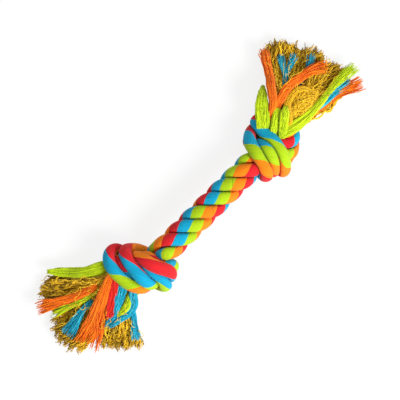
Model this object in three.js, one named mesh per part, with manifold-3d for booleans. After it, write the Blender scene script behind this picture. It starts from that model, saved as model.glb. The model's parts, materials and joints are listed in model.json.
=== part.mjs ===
// Two-knot rope toy: a three-strand laid rope with an overhand knot near each end. Past each knot the
// three strands open into tails, each a yarn core and four coloured cover bundles. Millimetres, +Z up, rope
// along X.
import * as THREE from 'three';
import { mergeVertices } from 'three/addons/utils/BufferGeometryUtils.js';
import Module from 'manifold-3d';

// Rope
const STRAND_DIAMETER = 8.4;
const STRAND_CLEARANCE = 0.4;
const LAY_PITCH = 42;
const LAY_SEARCH_STEPS = 200;
const LAY_SEARCH_ROUNDS = 40;
const STRAND_SIDES = 8;
const RING_STEP = 3.8;

// Knots: their middles' distance apart, and how far their strands are laid or run straight beside them
const KNOT_SPACING = 126;
const KNOTTED_STRAND_DIAMETER = 7.3;
const MOUTH_REACH = 19;
const EXIT_REACH = 19;
const EXIT_STRAIGHT = 4;
const EXIT_SPACING = 9.2;
const AXIS_HEIGHT = 21.5;
const REST_FLAT_DEPTH = 0.84;

// Flex points of the rope: a ball on the inner piece turns in a cup in the outer one
const MIDDLE_FLEX = 12.5;
const MOUTH_FLEX = 36;
const BALL_MARGIN = 0.1;
const CUP_CLEARANCE = 0.4;
const CUP_RIM = 6.5;
const BALL_SIDES = 16;
const BALL_ARC_STEPS = 5;

// Tails
const TAIL_CORE_ROOT_DIAMETER = 7.4;
const TAIL_CLEARANCE = 0.4;
const CORE_TIP_HEIGHT = 9;
const TAIL_DROP_LENGTH = 38;
const COVER_START = 2.4;
const COVER_ROOT_WIDTH = 2.8;
const COVER_THICKNESS = 2;
const COVER_ROOT_SPACING = 3;
const TAIL_BEND_SHARE = 0.16;
const TAIL_STEPS = 9;
const CORE_SIDES = 10;
const CORE_ROOT_RINGS = [80, 50, 25];
const CORE_TIP_ROUNDING = 0.82;
const COVER_SIDES = 6;
const COVER_STEPS = 9;
const GROOVE_MARGIN = 0.4;

// Tightening of the knots
const CHAIN_POINTS = 130;
const PULL_ROUNDS = 1000;
const PULL = 0.5;
const SETTLING = 0.016;
const RELAX_ROUNDS = 150;
const RELAX_PULL = 0.03;
const CONTACT_PASSES = 4;
const CONTACT_SHARE = 0.6;
const BEND_POINTS = 6;
const SEARCH_EVERY = 10;
const SEARCH_MARGIN = 2.5;

const COLOURS = { red: 0xe72834, blue: 0x00ace1, lime: 0xb4d71e, orange: 0xf28a10, core: 0xc79a1c };

// Route of the rope's middle through a loose overhand knot, in rope diameters: outward, across, upward
const OVERHAND_ROUTE = [
  [-3, 0, 0], [-1, 0, 0], [1, -0.5, 0], [1.5, -0.45, -1], [1.2, 0.6, -1.75], [0.5, 1.75, -1.45],
  [0, 2.45, -0.3], [0, 1.9, 1.15], [0, 0.45, 1.75], [-0.2, -1.15, 1.45], [-0.4, -2.05, 0.15],
  [-0.6, -1.15, -1.3], [-0.6, 0.15, -1.6], [-0.3, 1, -0.6], [0.4, 1, 0], [1.4, 0.85, 0.15], [2.4, 0.75, 0],
];

// Each end: the turn of its knot about the rope, where its strands leave it, and its tails from -Y to +Y.
// Places are outward from the knot's middle and across. Covers are listed from -Y to +Y at their roots, with
// their widths at those places. Those under the core lie in grooves in it, and the rest drape over what was
// laid before them.
const ENDS = [
  {
    name: 'left',
    side: -1,
    turn: 185,
    exitAcross: 5,
    exitRise: -3,
    tails: [
      {
        core: { tip: [51, -26], width: 28 },
        under: {
          orange: { route: [[40, -16], [52, -27]], widths: [4, 5] },
        },
        over: {
          blue: { route: [[28, -12], [34, -14], [45, -12]], widths: [4, 5, 4] },
          lime: { route: [[30, -8], [38, -9]], widths: [4, 4] },
          red: { route: [[32, -2], [38, -4.5], [44, -7.5]], widths: [4, 4.5, 3] },
        },
      },
      {
        core: { tip: [76, 6], width: 26 },
        under: {
          red: { route: [[45, 4], [68, 1]], widths: [4, 5] },
        },
        over: {
          orange: { route: [[34, 4.5], [42, 3], [52, -2], [65, -8]], widths: [5, 8, 13, 16] },
          blue: { route: [[40, 6.5], [52, 8.5], [60, 7], [73, 6]], widths: [3, 4, 5, 8] },
          lime: { route: [[38, 10.5], [48, 13], [58, 17], [69, 22]], widths: [3.5, 4, 5, 5] },
        },
      },
      {
        core: { tip: [63, 37], width: 20 },
        under: {
          blue: { route: [[42, 17], [58, 30]], widths: [4, 5] },
          red: { route: [[40, 22], [56, 39]], widths: [4, 5] },
        },
        over: {
          orange: { route: [[35, 14], [49, 20.5], [62, 26], [77, 32]], widths: [4, 5, 6, 8] },
          lime: { route: [[28, 21], [38, 31], [46, 40], [52.5, 49.5]], widths: [6, 8, 8, 5] },
        },
      },
    ],
  },
  {
    name: 'right',
    side: 1,
    turn: 54,
    exitAcross: 8,
    exitRise: -2,
    tails: [
      {
        core: { tip: [73, 3], width: 20 },
        under: {
          red: { route: [[45, 2], [66, 5]], widths: [4, 5] },
        },
        over: {
          orange: { route: [[37, -5.5], [58, -6], [68, -9], [80, -13.5]], widths: [4, 5, 6, 8] },
          blue: { route: [[36, -4], [48, -3.5], [61, -3.5], [74, -6]], widths: [3, 4, 4.5, 5] },
          lime: { route: [[31, -2], [45, -2.5], [67, 0], [85, -1.5]], widths: [7, 6, 5, 7] },
        },
      },
      {
        core: { tip: [69, 25.5], width: 16 },
        under: {
          red: { route: [[42, 15], [62, 23]], widths: [4, 5] },
        },
        over: {
          lime: { route: [[27, 7], [33, 10], [39, 12]], widths: [5, 6, 5] },
          blue: { route: [[42, 16], [58, 21], [68, 26]], widths: [2.5, 3, 3] },
          orange: { route: [[31, 13], [39, 17], [49, 20], [60, 18.5], [73, 15]], widths: [4, 5, 6, 6, 6] },
        },
      },
      {
        core: { tip: [57, 46], width: 20 },
        under: {
          red: { route: [[42, 30], [53, 42]], widths: [4, 5] },
        },
        over: {
          blue: { route: [[35, 25], [43, 32], [53, 42]], widths: [2.5, 3, 4] },
          orange: { route: [[28, 25], [34, 36], [40, 45], [46, 54]], widths: [5, 7, 7, 6] },
          lime: { route: [[21.5, 27], [23, 34], [27, 40]], widths: [7, 9, 6] },
        },
      },
    ],
  },
];

const wasm = await Module();
wasm.setup();

const STRANDS = [0, 1, 2];
const KNOT_X = KNOT_SPACING / 2;
const LAID_SPACING = STRAND_DIAMETER + STRAND_CLEARANCE;
const KNOT_CONTACT = KNOTTED_STRAND_DIAMETER + STRAND_CLEARANCE;
const LAY_RADIUS = layRadius();
const ROPE_DIAMETER = 2 * LAY_RADIUS + STRAND_DIAMETER;
const BALL_RADIUS = ROPE_DIAMETER / 2 + BALL_MARGIN;
const FLOOR = -AXIS_HEIGHT;

// Radius of the strands' helix at which neighbours keep their spacing at their closest points
function layRadius() {
  const third = (2 * Math.PI) / STRANDS.length;
  const leastDistance = (radius) => {
    let least = Infinity;
    for (let turn = -third; turn <= 0; turn += third / LAY_SEARCH_STEPS) {
      const along = (turn * LAY_PITCH) / (2 * Math.PI);
      const across = 2 * radius * Math.sin((third + turn) / 2);
      least = Math.min(least, Math.hypot(along, across));
    }
    return least;
  };
  let low = LAID_SPACING / 2;
  let high = LAID_SPACING;
  for (let round = 0; round < LAY_SEARCH_ROUNDS; round += 1) {
    const middle = (low + high) / 2;
    if (leastDistance(middle) < LAID_SPACING) low = middle;
    else high = middle;
  }
  return high;
}

function layAngle(x, strand) {
  return (2 * Math.PI * x) / LAY_PITCH + (2 * Math.PI * strand) / STRANDS.length;
}

function laidPoint(x, strand) {
  const angle = layAngle(x, strand);
  return new THREE.Vector3(x, LAY_RADIUS * Math.cos(angle), LAY_RADIUS * Math.sin(angle));
}

// Loose route of the rope's middle at one end, turned about the rope's axis
function knotRoute(end) {
  const turn = THREE.MathUtils.degToRad(end.turn);
  const points = OVERHAND_ROUTE.map(([outward, across, upward]) => {
    const y = Math.cos(turn) * across + Math.sin(turn) * upward;
    const z = Math.cos(turn) * upward - Math.sin(turn) * across;
    const point = new THREE.Vector3(outward, end.side * y, z).multiplyScalar(ROPE_DIAMETER);
    point.x = end.side * (KNOT_X + point.x);
    return point;
  });
  return new THREE.CatmullRomCurve3(points, false, 'centripetal');
}

// The three strands laid side by side along the loose route. Points on the laid rope and in the straight
// run-out past the knot are held, and the rest are free to draw tight.
function looseStrands(end) {
  const route = knotRoute(end);
  const frames = route.computeFrenetFrames(CHAIN_POINTS, false);
  const length = route.getLength();
  const start = Math.abs(route.getPoint(0).x);
  const mouth = KNOT_X - MOUTH_REACH;
  const chains = STRANDS.map(() => []);
  for (let k = 0; k <= CHAIN_POINTS; k += 1) {
    const x = start + (k / CHAIN_POINTS) * length;
    const centre = route.getPointAt(k / CHAIN_POINTS);
    for (const strand of STRANDS) {
      const angle = layAngle(end.side * Math.min(x, mouth + ROPE_DIAMETER / 2), strand);
      const radial = new THREE.Vector3(0, Math.cos(angle), Math.sin(angle));
      const held = x < mouth;
      const point = centre.clone();
      point.addScaledVector(frames.normals[k], LAY_RADIUS * radial.dot(frames.normals[0]));
      point.addScaledVector(frames.binormals[k], LAY_RADIUS * radial.dot(frames.binormals[0]));
      chains[strand].push({ point: held ? laidPoint(end.side * x, strand) : point, strand, index: k, held });
    }
  }
  holdExits(end, chains);
  return chains;
}

// The ends leave the knot abreast, in the order in which they lie across the rope
function holdExits(end, chains) {
  const order = [...chains].sort((a, b) => a.at(-1).point.y - b.at(-1).point.y);
  const step = RING_STEP / 2;
  const count = Math.ceil(EXIT_STRAIGHT / step) + 1;
  order.forEach((chain, slot) => {
    chain.slice(-count).forEach((link, k) => {
      link.held = true;
      link.point.set(
        end.side * (KNOT_X + EXIT_REACH - EXIT_STRAIGHT + (EXIT_STRAIGHT * k) / (count - 1)),
        end.exitAcross + (slot - 1) * EXIT_SPACING,
        end.exitRise,
      );
    });
  });
}

// Pairs of links that are near enough to touch soon; links beside each other in a strand keep its least bend
function nearPairs(links) {
  const reach = KNOT_CONTACT + SEARCH_MARGIN;
  const pairs = [];
  for (let i = 0; i < links.length; i += 1) {
    for (let j = i + 1; j < links.length; j += 1) {
      const a = links[i];
      const b = links[j];
      const beside = a.strand === b.strand && b.index - a.index < BEND_POINTS;
      if (beside || (a.held && b.held)) continue;
      if (Math.abs(a.point.x - b.point.x) > reach) continue;
      if (a.point.distanceToSquared(b.point) < reach * reach) pairs.push([a, b]);
    }
  }
  return pairs;
}

function pushApart(pairs) {
  const push = new THREE.Vector3();
  for (const [a, b] of pairs) {
    push.subVectors(a.point, b.point);
    const distance = push.length();
    if (distance >= KNOT_CONTACT) continue;
    push.multiplyScalar((CONTACT_SHARE * (KNOT_CONTACT - distance)) / distance);
    const share = a.held ? 0 : b.held ? 1 : 0.5;
    a.point.addScaledVector(push, share);
    b.point.addScaledVector(push, share - 1);
  }
}

// Draws each free link towards the middle of its two neighbours, which shortens and smooths the strand
function pullStrand(chain, pull) {
  const before = chain.map((link) => link.point.clone());
  for (let k = 1; k < chain.length - 1; k += 1) {
    if (chain[k].held) continue;
    const middle = before[k - 1].clone().add(chain[k + 1].point).multiplyScalar(0.5);
    chain[k].point.lerp(middle, pull);
  }
}

function settle(links, drop) {
  const lowest = FLOOR + KNOTTED_STRAND_DIAMETER / 2 - REST_FLAT_DEPTH;
  for (const link of links) {
    if (!link.held) link.point.z = Math.max(link.point.z - drop, lowest);
  }
}

// Ties one knot: the strands are pulled tight and settle on the floor, then relax until none touch
function tieKnot(end) {
  const chains = looseStrands(end);
  const links = chains.flat();
  let pairs = [];
  for (let round = 0; round < PULL_ROUNDS + 2 * RELAX_ROUNDS; round += 1) {
    if (round % SEARCH_EVERY === 0) pairs = nearPairs(links);
    const tightening = round < PULL_ROUNDS;
    const relaxing = round < PULL_ROUNDS + RELAX_ROUNDS;
    if (relaxing) chains.forEach((chain) => pullStrand(chain, tightening ? PULL : RELAX_PULL));
    settle(links, tightening ? SETTLING : 0);
    for (let pass = 0; pass < CONTACT_PASSES; pass += 1) pushApart(pairs);
  }
  return chains;
}

// Closed tube of a strand through the given points
function strandGeometry(points, diameter) {
  const path = new THREE.CatmullRomCurve3(points, false, 'centripetal');
  const section = new THREE.Shape(
    Array.from({ length: STRAND_SIDES }, (_, k) => {
      const angle = (2 * Math.PI * (k + 0.5)) / STRAND_SIDES;
      return new THREE.Vector2(Math.cos(angle), Math.sin(angle)).multiplyScalar(diameter / 2);
    }),
  );
  const steps = Math.max(2, Math.round(path.getLength() / RING_STEP));
  return new THREE.ExtrudeGeometry(section, { steps, extrudePath: path, curveSegments: 1 });
}

function toSolid(geometry) {
  const bare = geometry.clone();
  bare.deleteAttribute('normal');
  bare.deleteAttribute('uv');
  const merged = mergeVertices(bare, 1e-4);
  const vertProperties = new Float32Array(merged.attributes.position.array);
  const triVerts = new Uint32Array(merged.index.array);
  return new wasm.Manifold(new wasm.Mesh({ numProp: 3, vertProperties, triVerts }));
}

function toGeometry(solid) {
  const mesh = solid.getMesh();
  const geometry = new THREE.BufferGeometry();
  geometry.setAttribute('position', new THREE.BufferAttribute(new Float32Array(mesh.vertProperties), 3));
  geometry.setIndex(new THREE.BufferAttribute(new Uint32Array(mesh.triVerts), 1));
  geometry.computeVertexNormals();
  return geometry;
}

// Bar along the rope that ends in a round face about a flex point. Its rim, where it is wider than the ball,
// stands at the given distance past the flex point.
function roundEndedBar(flexX, side, ballRadius, barRadius, rim) {
  const rimAngle = Math.asin(rim / ballRadius);
  const profile = [new THREE.Vector2(0, -KNOT_SPACING), new THREE.Vector2(barRadius, -KNOT_SPACING)];
  if (barRadius > ballRadius) profile.push(new THREE.Vector2(barRadius, rim));
  for (let k = 0; k <= BALL_ARC_STEPS; k += 1) {
    const angle = rimAngle + ((Math.PI / 2 - rimAngle) * k) / BALL_ARC_STEPS;
    const radius = k === BALL_ARC_STEPS ? 0 : ballRadius * Math.cos(angle);
    profile.push(new THREE.Vector2(radius, ballRadius * Math.sin(angle)));
  }
  const bar = new THREE.LatheGeometry(profile, BALL_SIDES);
  bar.rotateZ(-side * (Math.PI / 2));
  bar.translate(side * flexX, 0, 0);
  return toSolid(bar);
}

function ballEnd(flexX, side) {
  return roundEndedBar(flexX, side, BALL_RADIUS, BALL_RADIUS, 0);
}

function cupEnd(flexX, side) {
  return roundEndedBar(flexX, side, BALL_RADIUS + CUP_CLEARANCE, 2 * BALL_RADIUS, CUP_RIM);
}

const group = new THREE.Group();

function addPiece(name, geometry, colour) {
  const material = new THREE.MeshStandardMaterial({ color: COLOURS[colour], roughness: 0.9, metalness: 0 });
  const mesh = new THREE.Mesh(geometry, material);
  mesh.name = name;
  group.add(mesh);
  return mesh;
}

// Laid rope: a middle piece with a ball at each end, and a piece on each side with a cup and a ball
const STRAND_COLOURS = ['orange', 'lime', 'blue'];
const laidReach = MOUTH_FLEX + 2 * BALL_RADIUS;

function laidSolid(fromX, toX, strand) {
  const count = Math.ceil((toX - fromX) / RING_STEP);
  const step = (toX - fromX) / count;
  const points = Array.from({ length: count + 1 }, (_, k) => laidPoint(fromX + step * k, strand));
  return toSolid(strandGeometry(points, STRAND_DIAMETER));
}

for (const strand of STRANDS) {
  const number = strand + 1;
  const colour = STRAND_COLOURS[strand];
  const middleReach = MIDDLE_FLEX + 2 * BALL_RADIUS;
  const middle = laidSolid(-middleReach, middleReach, strand)
    .intersect(ballEnd(MIDDLE_FLEX, 1))
    .intersect(ballEnd(MIDDLE_FLEX, -1));
  addPiece(`rope_middle_strand_${number}`, toGeometry(middle), colour);
  for (const { name, side } of ENDS) {
    const [fromX, toX] = side > 0 ? [0, laidReach] : [-laidReach, 0];
    const piece = laidSolid(fromX, toX, strand)
      .subtract(cupEnd(MIDDLE_FLEX, side))
      .intersect(ballEnd(MOUTH_FLEX, side));
    addPiece(`rope_${name}_strand_${number}`, toGeometry(piece), colour);
  }
}

// Least gap between the surfaces of two strands of a knot, and of one strand to itself past its bends
function leastGap(chains) {
  const links = chains.flat();
  let least = Infinity;
  for (const [a, b] of nearPairs(links)) least = Math.min(least, a.point.distanceTo(b.point));
  return least - KNOTTED_STRAND_DIAMETER;
}

// Knotted strands, cut flat where they rest on the floor
function addKnot(end, chains) {
  const block = new THREE.BoxGeometry(4 * KNOT_SPACING, KNOT_SPACING, AXIS_HEIGHT);
  block.translate(0, 0, FLOOR - AXIS_HEIGHT / 2);
  const floor = toSolid(block);
  const cup = cupEnd(MOUTH_FLEX, end.side);
  chains.forEach((chain, strand) => {
    const points = chain
      .map((link) => link.point)
      .filter((point) => Math.abs(point.x) > MOUTH_FLEX - RING_STEP);
    const solid = toSolid(strandGeometry(points, KNOTTED_STRAND_DIAMETER)).subtract(cup).subtract(floor);
    addPiece(`knot_${end.name}_strand_${strand + 1}`, toGeometry(solid), STRAND_COLOURS[strand]);
  });
}

// Closed loft through rings of points, each end closed to the middle of its ring
function loftGeometry(rings) {
  const sides = rings[0].length;
  const positions = rings.flat();
  const middleOf = (ring) => ring.reduce((sum, p) => sum.add(p), new THREE.Vector3()).divideScalar(sides);
  const first = positions.push(middleOf(rings[0])) - 1;
  const last = positions.push(middleOf(rings.at(-1))) - 1;
  const index = [];
  for (let s = 0; s < sides; s += 1) {
    const t = (s + 1) % sides;
    for (let r = 0; r + 1 < rings.length; r += 1) {
      const a = r * sides;
      const b = a + sides;
      index.push(a + s, a + t, b + t, a + s, b + t, b + s);
    }
    const end = (rings.length - 1) * sides;
    index.push(first, t, s, last, end + s, end + t);
  }
  const geometry = new THREE.BufferGeometry();
  geometry.setFromPoints(positions);
  geometry.setIndex(index);
  geometry.computeVertexNormals();
  return geometry;
}

// Oval ring about a point, wide across the tail's heading and high along +Z
function ovalRing(centre, heading, halfWidth, halfHeight, sides) {
  const across = new THREE.Vector3(-heading.y, heading.x, 0).normalize();
  return Array.from({ length: sides }, (_, k) => {
    const angle = (2 * Math.PI * k) / sides;
    const point = centre.clone().addScaledVector(across, halfWidth * Math.cos(angle));
    point.z += halfHeight * Math.sin(angle);
    return point;
  });
}

// A tail's core at a point of the plan: its middle sinks to the floor and it thickens on its way out
function coreProfile(pivot, point) {
  const distance = Math.hypot(point.x - pivot.x, point.y - pivot.y);
  const share = THREE.MathUtils.smoothstep(distance, 0, TAIL_DROP_LENGTH);
  const tipMiddle = FLOOR + CORE_TIP_HEIGHT / 2;
  const middle = THREE.MathUtils.lerp(pivot.z, tipMiddle, share);
  const half = THREE.MathUtils.lerp(TAIL_CORE_ROOT_DIAMETER, CORE_TIP_HEIGHT, share) / 2;
  return { share, middle, half };
}

function planPoint(end, [outward, across]) {
  return new THREE.Vector3(end.side * (KNOT_X + outward), across, 0);
}

function tailPivot(end, slot) {
  const reach = KNOT_X + EXIT_REACH + TAIL_CLEARANCE + TAIL_CORE_ROOT_DIAMETER / 2;
  return new THREE.Vector3(end.side * reach, end.exitAcross + (slot - 1) * EXIT_SPACING, end.exitRise);
}

// Core of a tail: a round root that runs straight out of the knot, then bends and widens to a flat tuft
function coreGeometry(end, pivot, core) {
  const rootRadius = TAIL_CORE_ROOT_DIAMETER / 2;
  const start = new THREE.Vector3(pivot.x, pivot.y, 0);
  const target = planPoint(end, core.tip);
  const bend = start.clone();
  bend.x += end.side * TAIL_BEND_SHARE * start.distanceTo(target);
  const route = new THREE.QuadraticBezierCurve3(start, bend, target);
  const rings = [];
  for (const angle of CORE_ROOT_RINGS) {
    const radians = THREE.MathUtils.degToRad(angle);
    const centre = pivot.clone();
    centre.x -= end.side * rootRadius * Math.sin(radians);
    const radius = rootRadius * Math.cos(radians);
    rings.push(ovalRing(centre, route.getTangent(0), radius, radius, CORE_SIDES));
  }
  for (let k = 0; k <= TAIL_STEPS; k += 1) {
    const centre = route.getPoint(k / TAIL_STEPS);
    const heading = route.getTangent(k / TAIL_STEPS);
    const { share, middle, half } = coreProfile(pivot, centre);
    centre.z = middle;
    const rounding = k === TAIL_STEPS ? CORE_TIP_ROUNDING : 1;
    const halfWidth = rounding * THREE.MathUtils.lerp(rootRadius, core.width / 2, share);
    rings.push(ovalRing(centre, heading, halfWidth, rounding * half, CORE_SIDES));
  }
  return loftGeometry(rings);
}

// Plan of a cover bundle: its middle, heading and width at even steps from its root to its tip
function coverPlan(end, pivot, cover, across, steps) {
  const root = new THREE.Vector3(pivot.x + end.side * COVER_START, pivot.y + across, 0);
  const places = [root, ...cover.route.map((place) => planPoint(end, place))];
  const widths = [COVER_ROOT_WIDTH, ...cover.widths];
  const route = new THREE.CatmullRomCurve3(places, false, 'centripetal');
  return Array.from({ length: steps + 1 }, (_, k) => {
    const t = route.getUtoTmapping(k / steps);
    const span = Math.min(Math.floor(t * (places.length - 1)), places.length - 2);
    const width = THREE.MathUtils.lerp(widths[span], widths[span + 1], t * (places.length - 1) - span);
    return { middle: route.getPoint(t), heading: route.getTangent(t), width };
  });
}

function coverGeometry(plan, heights, margin) {
  const rings = plan.map(({ middle, heading, width }, k) => {
    const centre = new THREE.Vector3(middle.x, middle.y, heights[k]);
    return ovalRing(centre, heading, width / 2 + margin, COVER_THICKNESS / 2 + margin, COVER_SIDES);
  });
  return loftGeometry(rings);
}

// Heights at which a cover lies under the core near its root and on the floor past that
function heightsUnder(pivot, plan) {
  const lowest = FLOOR + COVER_THICKNESS / 2;
  return plan.map(({ middle }) => {
    const core = coreProfile(pivot, middle);
    return Math.max(lowest, core.middle - core.half - TAIL_CLEARANCE - COVER_THICKNESS / 2);
  });
}

const DOWN = new THREE.Vector3(0, 0, -1);
const HIGH = 2 * AXIS_HEIGHT;
const DRAPE_SPREAD = [-0.5, -0.25, 0, 0.25, 0.5];
const DRAPE_SAMPLES = 4;
const DRAPE_REACH = 3;

// Heights at which a cover drapes over the pieces already laid, and sinks with its tail where there are none.
// The plan is a fine one, and each height is that of the highest place near its ring.
function heightsOver(pivot, plan, laid) {
  const ray = new THREE.Raycaster();
  const tops = plan.map(({ middle, heading, width }) => {
    const across = new THREE.Vector3(-heading.y, heading.x, 0).normalize();
    const { share } = coreProfile(pivot, middle);
    const alone = THREE.MathUtils.lerp(pivot.z, FLOOR, share);
    const below = DRAPE_SPREAD.map((part) => {
      const from = middle.clone().addScaledVector(across, part * width);
      ray.set(from.setZ(HIGH), DOWN);
      const hit = ray.intersectObjects(laid, false)[0];
      return hit ? hit.point.z : FLOOR;
    });
    return Math.max(alone, ...below);
  });
  return Array.from({ length: COVER_STEPS + 1 }, (_, k) => {
    const middle = k * DRAPE_SAMPLES;
    const nearby = tops.slice(Math.max(0, middle - DRAPE_REACH), middle + DRAPE_REACH + 1);
    return Math.max(...nearby) + TAIL_CLEARANCE + COVER_THICKNESS / 2;
  });
}

function rootsAcross(covers) {
  const colours = Object.keys(covers);
  return colours.map((colour, k) => [colour, (k - (colours.length - 1) / 2) * COVER_ROOT_SPACING]);
}

function addTail(end, tail, slot) {
  const prefix = `tail_${end.name}_${slot + 1}`;
  const pivot = tailPivot(end, slot);
  let core = toSolid(coreGeometry(end, pivot, tail.core));
  for (const [colour, across] of rootsAcross(tail.under)) {
    const plan = coverPlan(end, pivot, tail.under[colour], across, COVER_STEPS);
    const heights = heightsUnder(pivot, plan);
    addPiece(`${prefix}_${colour}`, coverGeometry(plan, heights, 0), colour);
    core = core.subtract(toSolid(coverGeometry(plan, heights, GROOVE_MARGIN)));
  }
  const laid = [addPiece(`${prefix}_core`, toGeometry(core), 'core')];
  for (const [colour, across] of rootsAcross(tail.over)) {
    const plan = coverPlan(end, pivot, tail.over[colour], across, COVER_STEPS);
    const finePlan = coverPlan(end, pivot, tail.over[colour], across, COVER_STEPS * DRAPE_SAMPLES);
    const heights = heightsOver(pivot, finePlan, laid);
    laid.push(addPiece(`${prefix}_${colour}`, coverGeometry(plan, heights, 0), colour));
  }
}

for (const end of ENDS) {
  const chains = tieKnot(end);
  console.log(`least gap in the ${end.name} knot: ${leastGap(chains).toFixed(2)} mm`);
  addKnot(end, chains);
  end.tails.forEach((tail, slot) => addTail(end, tail, slot));
}

// The origin lies under the middle of the toy, on the surface that it rests on
const box = new THREE.Box3().setFromObject(group);
const centre = box.getCenter(new THREE.Vector3());
group.position.set(-centre.x, -centre.y, -box.min.z);

export default group;
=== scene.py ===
import json
import math

import bpy
import numpy as np
from mathutils import Matrix, Vector
from mathutils.bvhtree import BVHTree


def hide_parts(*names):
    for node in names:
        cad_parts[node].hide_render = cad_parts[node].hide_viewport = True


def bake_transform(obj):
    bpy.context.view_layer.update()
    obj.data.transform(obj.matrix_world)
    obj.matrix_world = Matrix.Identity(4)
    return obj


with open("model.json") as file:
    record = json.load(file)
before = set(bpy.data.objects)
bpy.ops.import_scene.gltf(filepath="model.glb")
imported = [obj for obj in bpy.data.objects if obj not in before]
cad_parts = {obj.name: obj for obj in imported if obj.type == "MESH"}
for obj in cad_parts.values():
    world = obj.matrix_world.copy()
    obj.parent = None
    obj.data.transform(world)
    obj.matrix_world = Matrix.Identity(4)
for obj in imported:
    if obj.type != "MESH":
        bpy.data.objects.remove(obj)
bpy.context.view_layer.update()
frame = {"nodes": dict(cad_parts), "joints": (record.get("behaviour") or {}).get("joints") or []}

# Rope dog toy: three striped cotton strands laid into a rope, knotted near each end and frayed past the
# knots. Shapes are worked out in millimetres and turned into metres where a mesh is made.

MM = 0.001
FULL_TURN = 2 * math.pi
ANY_PHASE = 6.3
GOLDEN_TURN = 2.39996
TINY = 1e-9
ALONG, ACROSS, UP = np.eye(3)
ASKEW = UP + 0.01
DOWN = Vector((0.0, 0.0, -1.0))
rng = np.random.default_rng(7)

SIDE = {"left": -1, "right": 1}
STRANDS = (1, 2, 3)
TAILS = (1, 2, 3)
FLOOR_GAP = 0.1


def unit(v):
    return v / np.maximum(np.linalg.norm(v, axis=-1, keepdims=True), TINY)


def linear(r, g, b):
    """An sRGB colour of 0 to 255 as a linear RGBA value."""
    values = np.array([r, g, b]) / 255.0
    values = np.where(values <= 0.04045, values / 12.92, ((values + 0.055) / 1.055) ** 2.4)
    return (*values.tolist(), 1.0)


def smoothstep(x):
    x = np.clip(x, 0.0, 1.0)
    return x * x * (3.0 - 2.0 * x)


def near_tip(share, start):
    """Rises softly from 0 where a share of a yarn's length is at the start to 1 at its tip."""
    return smoothstep((share - start) / (1 - start))


def blur(values, sigma):
    """Gaussian blur along the first axis that leaves both ends where they are."""
    half = max(1, math.ceil(3 * sigma))
    kernel = np.exp(-0.5 * (np.arange(-half, half + 1) / sigma) ** 2)
    kernel /= kernel.sum()
    head = 2 * values[0] - values[half:0:-1]
    tail = 2 * values[-1] - values[-2 : -half - 2 : -1]
    padded = np.concatenate([head, values, tail])
    return sum(k * padded[i : i + len(values)] for i, k in enumerate(kernel))


def arc_lengths(points):
    return np.r_[0.0, np.cumsum(np.linalg.norm(np.diff(points, axis=0), axis=1))]


def columns_at(at, known, values):
    """Each column of values at new places, from the places where it is known."""
    return np.stack([np.interp(at, known, column) for column in values.T], axis=-1)


def resample(points, step):
    along = arc_lengths(points)
    return columns_at(np.linspace(0.0, along[-1], round(along[-1] / step) + 1), along, points)


# What the frame says

JOINTS = {joint["name"]: joint for joint in frame["joints"]}


def joint_place(name):
    return np.array(JOINTS[name]["pos_m"]) / MM


def solid(name):
    """Corners of a solid, and its wall for rays."""
    mesh = frame["nodes"][name].data
    corners = [v.co / MM for v in mesh.vertices]
    return corners, BVHTree.FromPolygons(corners, [tuple(p.vertices) for p in mesh.polygons])


ROPE_MIDDLE = (joint_place("bend_left") + joint_place("bend_right")) / 2


# Strand routes

LAY_PITCH = 42.0
LAY_RADIUS = 5.81
LAID_REACH = 43.0
LAID_SHARE = 0.5
KNOT_JOIN = 48.0
KNOT_X = 63.0
STRAND_END_OUT = 19.0
TUBE_RADIUS = 3.9
CAP_RADIUS = TUBE_RADIUS + 0.5
CAP_FLATNESS = 0.05
TRACE_STEP = 1.0
TRACE_RAYS = 16
TRACE_ROUNDS = 3
TRACE_LIMIT = 500
TRACE_IN_ROPE = 30
STEEP = 0.9
ROUTE_BLUR = 1.6
RING_STEP = 0.8


def middle_of_tube(wall, point, heading):
    """Moves a point to the middle of the closed tube round it, by rays to its wall."""
    side = unit(np.cross(heading, UP if abs(heading[2]) < STEEP else ALONG))
    other = np.cross(heading, side)
    for _ in range(TRACE_ROUNDS):
        shift = np.zeros(3)
        for k in range(TRACE_RAYS):
            angle = FULL_TURN * k / TRACE_RAYS
            ray = math.cos(angle) * side + math.sin(angle) * other
            hit = wall.ray_cast(Vector(point), Vector(ray), 2 * TUBE_RADIUS)
            shift += (TUBE_RADIUS if hit[0] is None else hit[3]) * ray
        point = point + shift * 2 / TRACE_RAYS
    return point


def tail_cap(end, corners):
    """Middle of the flat face, among a knotted strand's corners, that a tail leaves from."""
    outward = (corners[:, 0] - ROPE_MIDDLE[0]) * SIDE[end] - KNOT_X
    level = np.abs(outward - STRAND_END_OUT) < CAP_FLATNESS
    faces = []
    for slot in TAILS:
        off = np.linalg.norm((corners - joint_place(f"lift_tail_{end}_{slot}"))[:, 1:], axis=1)
        faces.append(corners[level & (off < CAP_RADIUS)])
    return max(faces, key=len).mean(axis=0)


def knot_route(end, number):
    """Middle line of a knotted strand, walked inside its solid from the tail's end to the rope."""
    corners, wall = solid(f"knot_{end}_strand_{number}")
    cap = tail_cap(end, np.array(corners))
    heading = -SIDE[end] * ALONG
    route = [cap, cap + TRACE_STEP * heading]
    while len(route) < TRACE_LIMIT:
        route.append(middle_of_tube(wall, route[-1] + TRACE_STEP * heading, heading))
        heading = unit(route[-1] - route[-2])
        if wall.ray_cast(Vector(route[-1]), Vector(heading), 2 * TRACE_STEP)[0] is not None:
            break
    route = np.array(route)
    inside = (route[:, 0] - ROPE_MIDDLE[0]) * SIDE[end] < KNOT_JOIN
    inside[: len(route) - TRACE_IN_ROPE] = False
    return route[~inside]


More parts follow.
